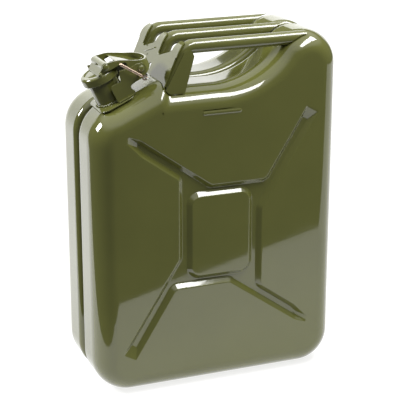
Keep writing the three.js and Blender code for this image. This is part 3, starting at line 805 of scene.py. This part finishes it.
# ---- Neck, saddle and bracket -----------------------------------------------------------------
NECK_WALL = 1.2
NECK_FOOT = -13
MOUTH_BEAD_OUT, MOUTH_BEAD_HALF = 1.9, 2.0
SADDLE = box_outline(-39, 10, -32, 32)
SADDLE_TOP = 2.3
NECK_PUDDLES = 44
BRACKET_FOOT = 2.6
EAR = [(-14, BRACKET_FOOT), (12.4, BRACKET_FOOT), (12.4, 7), (10, 9), (10, 15), (34, 18), (39, 26),
       (37.5, 34.5), (27, 37), (19, 36), (4, 40), (1.5, 26), (-14.5, 27)]
EAR_ROUNDS = [0, 0, 1.2, 1, 3, 4, 4, 4, 4, 6, 3, 3, 4]
STRAP = box_outline(10.4, 12.3, -EAR_IN - 1, EAR_IN + 1)
STRAP_TOP = 6.9
FOOT_LEFT, FOOT_RIGHT, FOOT_OUT = -13, 8, 3.5


def filler_neck():
    """The neck tube with its rolled mouth bead."""
    bead = []
    for degrees in range(0, 181, 20):
        a = math.radians(degrees)
        height = NECK_TOP - MOUTH_BEAD_HALF - MOUTH_BEAD_HALF * math.cos(a)
        bead.append((NECK_R + MOUTH_BEAD_OUT * math.sin(a), height))
    inside = NECK_R - NECK_WALL
    profile = [(inside, NECK_FOOT), (NECK_R, NECK_FOOT), (NECK_R, NECK_TOP - 5)] + bead
    return shade(solid(turned(profile + [(inside, NECK_TOP)], 96, wrap=True), "neck_tube"))


def saddle():
    """The flange plate between the neck and the shoulder."""
    obj = solid(prism(rounded(SADDLE, [12, 10, 10, 12], 10), GAP, SADDLE_TOP, "xy"), "neck_flange")
    boolean(obj, [bore(NECK_R + GAP, (NECK_U, 0), -5, 9, 64, "xy")])
    return soften(obj, 0.7)


def neck_weld():
    """Fillet weld round the neck, in small overlapping puddles."""
    r, low = NECK_R + 0.1, SADDLE_TOP + 0.1
    steps = 220
    rings = []
    for i in range(steps):
        a = 2 * math.pi * i / steps
        swell = 0.8 + 0.2 * math.cos(NECK_PUDDLES * a) + random.uniform(-0.05, 0.05)
        profile = [(r, low), (r + 2.3 * swell, low), (r + 1.5 * swell, low + 1.3 * swell),
                   (r + 0.5, low + 2.3 * swell), (r, low + 2.5 * swell)]
        rings.append([(NECK_U + q * math.cos(a), q * math.sin(a), w) for q, w in profile])
    bm = bmesh.new()
    add_rings(bm, rings, closed=True)
    return solid(bm, "neck_weld_ring")


def bracket():
    """Two ears with their feet, joined by the cross strap, with the holes for both pins."""
    ear = rounded(EAR, EAR_ROUNDS, 8)
    obj = soften(solid(prism(ear, EAR_IN, EAR_OUT), "clamp_bracket_ears"), 0.45)
    parts = [soften(solid(prism(ear, -EAR_OUT, -EAR_IN), "far_ear"), 0.45)]
    parts.append(soften(solid(prism(STRAP, BRACKET_FOOT + 0.1, STRAP_TOP, "xy"), "strap"), 0.4))
    for low, high in ((-EAR_OUT - FOOT_OUT, -EAR_OUT + 1), (EAR_OUT - 1, EAR_OUT + FOOT_OUT)):
        foot = box_outline(FOOT_LEFT, FOOT_RIGHT, low, high)
        parts.append(soften(solid(prism(foot, BRACKET_FOOT + 0.05, BRACKET_FOOT + 2, "xy"), "foot"), 0.4))
    boolean(obj, parts, "UNION")
    boolean(obj, [bore(HINGE_BORE, HINGE), bore(LOCK_BORE, LOCK_HOLE, high=0)])
    clean(obj)
    return shade(obj, 40)


piece(filler_neck(), "can", "enamel", "filler_neck")
piece(saddle(), "can", "enamel", "neck_saddle")
piece(neck_weld(), "can", "enamel", "neck_weld")
piece(bracket(), "can", "enamel", "clamp_bracket")


# ---- Lever -------------------------------------------------------------------------------------
# Side view in (u, w): the cheeks' upper rim, the dished floor and the lower edge.
RIM = [(-12.5, 56.8), (-6, 56.0), (0.8, 54.5), (6, 53.3), (10.7, 51.7), (18, 47.8), (27, 42.6), (31, 40.4),
       (36, 38), (43, 35.2), (50, 32.5)]
FLOOR = [(8, 50.2), (10.7, 49.4), (18, 44.6), (27, 38.6), (33, 33.6), (39, 29), (44, 26.8), (50, 25)]
HEEL = [(17.9, 45.8), (17.9, 31), (9, 31), (9, 17), (31, 17), (44, 21), (50, 21)]
HEEL_ROUNDS = [0, 2.5, 2, 2, 3, 5, 5, 0]
NOSE_R = 5.2
CHEEK_WALL = 2.0
UNDER_U, UNDER_W = 1.2, 1.9
# Cutters end past the tail and above the rim.
PAST_TAIL, ABOVE = 60, 90


def lever_plan(shrink):
    """The lever from above: straight cheeks and a rounded tail, moved inwards by shrink."""
    half = CHEEK - shrink
    tail = []
    for i in range(25):
        a = math.pi * (i / 24 - 0.5)
        tail.append((33 + (16 - shrink) * math.cos(a), half * math.sin(a)))
    return [(-30, -half)] + tail + [(-30, half)]


def hollow(outline):
    """The space between the cheeks, where a side view outline allows it."""
    inner = solid(prism(lever_plan(CHEEK_WALL), 0, ABOVE, "xy"), "hollow")
    return boolean(inner, [solid(prism(outline, -THROUGH, THROUGH), "outline")], "INTERSECT")


def cam_lever():
    """The pressed lever: two cheeks, a dished floor between them and a rounded tail."""
    nose = arc(LID_PIN, NOSE_R, 110, 270, 14)
    heel = rounded([nose[-1]] + HEEL, HEEL_ROUNDS, 6)[1:]
    obj = solid(prism(heel + RIM[::-1][:-1] + nose, -CHEEK, CHEEK), "cam_lever_pressing")
    boolean(obj, [solid(prism(lever_plan(0), 0, 80, "xy"), "plan")], "INTERSECT")
    under = [(u - UNDER_U, w - UNDER_W) for u, w in FLOOR]
    start = FLOOR[0][0]
    above = FLOOR + [(PAST_TAIL, ABOVE), (start, ABOVE)]
    below = [(PAST_TAIL, 0), (PAST_TAIL, under[-1][1])] + under[::-1][1:] + [(under[0][0], 0)]
    nose_gap = box_outline(-THROUGH, start, 0, ABOVE)
    boolean(obj, [hollow(above), hollow(below), hollow(nose_gap),
                  bore(LID_R + 1.5, (NECK_U, 0), 0, LID_TOP + 1.8, 96, "xy"),
                  bore(HINGE_BORE, HINGE), bore(LID_PIN_BORE, LID_PIN), bore(LOCK_BORE, LOCK_HOLE, high=0)])
    return soften(obj, 0.5, angle=30)


def pin(radius, at, head, head_from, thick, name):
    """A pin across the closure with a domed head at each end."""
    half = [(0, head_from + thick + 0.6), (head * 0.5, head_from + thick + 0.45),
            (head * 0.85, head_from + thick), (head, head_from + thick * 0.4),
            (head, head_from), (radius, head_from)]
    profile = half + [(r, -v) for r, v in reversed(half)]
    return shade(solid(turned(profile, 40, at, across=True), name), 40)


def washer(side, name):
    """The washer under one head of the hinge pin."""
    near = EAR_OUT + 0.2
    low, high = sorted((near * side, (near + 1) * side))
    obj = solid(rod(5, HINGE, low, high, 48), name)
    boolean(obj, [bore(HINGE_BORE, HINGE, low - 1, high + 1)])
    return soften(obj, 0.2, 2)


piece(cam_lever(), "lever", "enamel", "cam_lever")
lid_pin = pin(2.5, LID_PIN, 3.9, CHEEK + GAP, 0.9, "lid_pin_riveted")
piece(lid_pin, "lever", "enamel", "lid_pin")
hinge_pin = pin(3.0, HINGE, 4.2, EAR_OUT + 1.5, 1.3, "hinge_pin_riveted")
piece(hinge_pin, "can", "enamel", "lever_hinge_pin")
piece(washer(-1, "washer_front"), "can", "enamel", "hinge_washer_front")
piece(washer(1, "washer_rear"), "can", "enamel", "hinge_washer_rear")

# ---- Lid ---------------------------------------------------------------------------------------
LID_WALL = 1.5
LID_ROUND = 3
KNUCKLE_HALF = CHEEK - 2.5
KNUCKLE_R = 5.6
KNUCKLE_SLOT = box_outline(-22, -10, 52.5, 54.3)
LUG_AT = (-18.5, 46.9)
LUG_R, LUG_NEAR, LUG_FAR = 2.2, 22.5, 27.0


def lid():
    """The dished cap: a shallow ring pressed in its top and a rim that turns down."""
    r, top, low = LID_R, LID_TOP, LID_LOW
    outer = [(0, top), (r - 10, top), (r - 9, top - 0.35), (r - 7, top - 0.35), (r - 6, top)]
    for degrees in range(0, 91, 15):
        a = math.radians(degrees)
        outer.append((r - LID_ROUND + LID_ROUND * math.sin(a), top - LID_ROUND + LID_ROUND * math.cos(a)))
    outer += [(r, low + 1.0), (r - 0.3, low + 0.3), (r - 0.8, low), (r - LID_WALL, low + 0.2)]
    under = top - LID_WALL
    inner = [(r - LID_WALL, under - 1.5), (r - LID_WALL - 1.5, under), (0, under)]
    return shade(solid(turned(outer + inner, 96), "lid_cap_pressing"), 40)


def knuckle():
    """The bridge on the lid that the lid pin runs through, with a slot in its crown."""
    base = LID_TOP + GAP
    crown = arc(LID_PIN, KNUCKLE_R, 0, 180, 20)
    outline = [(4, base), (2.5, base + 2.4)] + crown + [(-20, base + 2.4), (-21.5, base)]
    obj = solid(prism(outline, -KNUCKLE_HALF, KNUCKLE_HALF), "lid_knuckle_bridge")
    boolean(obj, [bore(LID_PIN_BORE, LID_PIN), solid(prism(KNUCKLE_SLOT, -7, 3), "slot")])
    return soften(obj, 0.6)


def lug(side, name):
    """Domed stud on each side of the knuckle."""
    profile = [(0, LUG_NEAR), (LUG_R, LUG_NEAR), (LUG_R, LUG_FAR - 1.2), (LUG_R * 0.85, LUG_FAR - 0.5),
               (LUG_R * 0.5, LUG_FAR - 0.1), (0, LUG_FAR)]
    sided = [(r, side * v) for r, v in profile]
    return shade(solid(turned(sided, 32, LUG_AT, across=True), name), 50)


piece(lid(), "lid", "enamel", "lid")
piece(knuckle(), "lid", "enamel", "lid_knuckle")
piece(lug(-1, "lid_stud_front"), "lid", "enamel", "lid_lug_front")
piece(lug(1, "lid_stud_rear"), "lid", "enamel", "lid_lug_rear")

# ---- Locking pin --------------------------------------------------------------------------------
LOCK_ALONG = (Vector(LOCK_TIP) - Vector(LOCK_HOLE)).normalized()
LOCK_EYE = Vector(LOCK_HOLE) - LOCK_ALONG * 7
EYE_R, EYE_HALF, EYE_BORE = 3.6, 1.1, 1.7
RING_R, RING_WIRE = 3.2, 0.58
RING_HANG = Vector((0.8, -0.6))


def locking_pin():
    """Round-ended grip along the ear, with an eye at its lower end and the pin that goes in the hole."""
    tip = Vector(LOCK_TIP)
    low = Vector(LOCK_HOLE) - LOCK_ALONG * 3.5
    size = (tip - low).length
    side = Vector((-LOCK_ALONG.y, LOCK_ALONG.x))
    n, sides = 40, 28
    rings = []
    for i in range(n + 1):
        p = low.lerp(tip, i / n)
        end = min(i / n * size, size - i / n * size)
        r = LOCK_R * math.sqrt(max(0.02, 1 - max(0, 1 - end / LOCK_R) ** 2))
        ring = []
        for k in range(sides):
            t = 2 * math.pi * k / sides
            out = r * math.cos(t)
            ring.append((p.x + side.x * out, GRIP_V + r * math.sin(t), p.y + side.y * out))
        rings.append(ring)
    obj = solid(capped_rings(rings), "locking_pin_coppered")
    boolean(obj, [bore(LOCK_R, LOCK_HOLE, GRIP_V, -EAR_IN - GAP / 2, 28),
                  bore(EYE_R, LOCK_EYE, GRIP_V - EYE_HALF, GRIP_V + EYE_HALF, 36)], "UNION")
    boolean(obj, [bore(EYE_BORE, LOCK_EYE, GRIP_V - 4, GRIP_V + 4, 24)])
    return soften(obj, 0.25, 2, 40)


def split_ring():
    """The ring that hangs in the pin's eye."""
    centre = LOCK_EYE + RING_HANG * RING_R
    steps = 48
    path = []
    for i in range(steps):
        t = 2 * math.pi * i / steps
        x = centre.x + RING_HANG.x * RING_R * math.cos(t)
        z = centre.y + RING_HANG.y * RING_R * math.cos(t)
        path.append((x, GRIP_V + RING_R * math.sin(t), z))
    return shade(sweep(path, circle(RING_WIRE, 14), "split_ring", CLOSURE, closed=True))


piece(locking_pin(), "locking_pin", "coppered_steel", "locking_pin")
piece(split_ring(), "locking_pin", "bare_steel", "pin_ring")

# ---- CAD nodes that stay, with a new material --------------------------------------------------
for name, mat in (("lid_gasket", RUBBER), ("breather_tube", ZINC)):
    node = frame["nodes"][name]
    node.data.materials.clear()
    node.data.materials.append(mat)

# ---- Paper floor, world, lights, camera, in metres ---------------------------------------------
# The floor ends just in front of the can, on the line from FRONT_LEFT to FRONT_RIGHT.
FRONT_LEFT, FRONT_RIGHT = Vector((-0.209, -0.313)), Vector((2.0, -1.347))
BACK_LEFT, BACK_RIGHT = Vector((-2.05, 2.74)), Vector((3.4, 1.9))
WALL_CURVE = 0.5
WALL_HEIGHT = 1.7
PAPER_GREY, PAPER_ROUGH, PAPER_SHEEN, PAPER_GLOW = 0.3, 0.9, 0.1, 0.8
CEILING = 1.1
DIM_ROOM = 0.12
CEILING_FROM, CEILING_FULL = 0.42, 0.75
CAMERA_AT = Vector((-0.65508, -1.68328, 0.84457))
CAMERA_AIM = Vector((0.00215, 0.0, 0.23635))
CAMERA_LENS, CAMERA_SENSOR = 124.58, 36


def place(obj):
    """Puts an object of the studio in the scene."""
    bpy.context.scene.collection.objects.link(obj)
    return obj


def paper_sweep():
    """One sheet of pale paper: a floor that ends in front of the can and curves up behind it."""
    foot = (BACK_RIGHT - BACK_LEFT).normalized()
    outward = Vector((-foot.y, foot.x))
    rows = [(FRONT_LEFT, FRONT_RIGHT, 0.0)]
    for i in range(17):
        a = math.pi / 2 * i / 16
        out = outward * WALL_CURVE * math.sin(a)
        rows.append((BACK_LEFT + out, BACK_RIGHT + out, WALL_CURVE * (1 - math.cos(a))))
    rows.append((rows[-1][0], rows[-1][1], WALL_HEIGHT))
    bm = bmesh.new()
    ends = [[bm.verts.new((p.x, p.y, z)) for p in (left, right)] for left, right, z in rows]
    for near, far in zip(ends, ends[1:]):
        bm.faces.new((near[0], near[1], far[1], far[0])).smooth = True
    mesh = bpy.data.meshes.new("paper_sweep")
    bm.to_mesh(mesh)
    bm.free()
    mat, _, _, shader = new_material("pale_paper")
    shader.inputs["Emission Color"].default_value = grey(1.0)
    shader.inputs["Emission Strength"].default_value = PAPER_GLOW
    shader.inputs["Base Color"].default_value = grey(PAPER_GREY)
    shader.inputs["Roughness"].default_value = PAPER_ROUGH
    shader.inputs["Specular IOR Level"].default_value = PAPER_SHEEN
    mesh.materials.append(mat)
    obj = place(bpy.data.objects.new("paper_sweep", mesh))


def world():
    """A dim room under a pale ceiling."""
    scene = bpy.context.scene
    scene.world = bpy.data.worlds.new("studio")
    scene.world.use_nodes = True
    nodes, links = scene.world.node_tree.nodes, scene.world.node_tree.links
    back = nodes["Background"]
    tex = nodes.new("ShaderNodeTexCoord")
    parts = nodes.new("ShaderNodeSeparateXYZ")
    links.new(tex.outputs["Generated"], parts.inputs["Vector"])
    tone = nodes.new("ShaderNodeMapRange")
    tone.interpolation_type = "SMOOTHSTEP"
    tone.inputs["From Min"].default_value = CEILING_FROM
    tone.inputs["From Max"].default_value = CEILING_FULL
    tone.inputs["To Min"].default_value = DIM_ROOM
    tone.inputs["To Max"].default_value = CEILING
    links.new(parts.outputs["Z"], tone.inputs["Value"])
    links.new(tone.outputs["Result"], back.inputs["Strength"])
    back.inputs["Color"].default_value = grey(1.0)


def softbox(name, at, aim, size, power):
    """A rectangular area light, pointed at a place."""
    data = bpy.data.lights.new(name, "AREA")
    data.shape = "RECTANGLE"
    data.size, data.size_y = size
    data.energy = power
    obj = place(bpy.data.objects.new(name, data))
    obj.location = at
    obj.rotation_euler = (Vector(aim) - Vector(at)).to_track_quat("-Z", "Y").to_euler()


def camera():
    """The photograph's viewing angle."""
    data = bpy.data.cameras.new("camera")
    data.sensor_width = CAMERA_SENSOR
    data.lens = CAMERA_LENS
    obj = place(bpy.data.objects.new("camera", data))
    obj.location = CAMERA_AT
    obj.rotation_mode = "QUATERNION"
    obj.rotation_quaternion = (CAMERA_AIM - CAMERA_AT).to_track_quat("-Z", "Y")
    bpy.context.scene.camera = obj


paper_sweep()
world()
softbox("long_strip", at=(0.45, -0.45, 1.5), aim=(0, 0, 0.45), size=(1.5, 0.36), power=23)
softbox("left", at=(-1.85, 0.75, 1.4), aim=(0, 0, 0.35), size=(0.6, 0.6), power=45)
softbox("wall_wash", at=(0.4, 1.4, 1.9), aim=(0.6, 3.2, 1.4), size=(3.0, 0.5), power=90)
camera()
bpy.context.scene.view_settings.view_transform = "Standard"
bpy.context.scene.view_settings.look = "None"
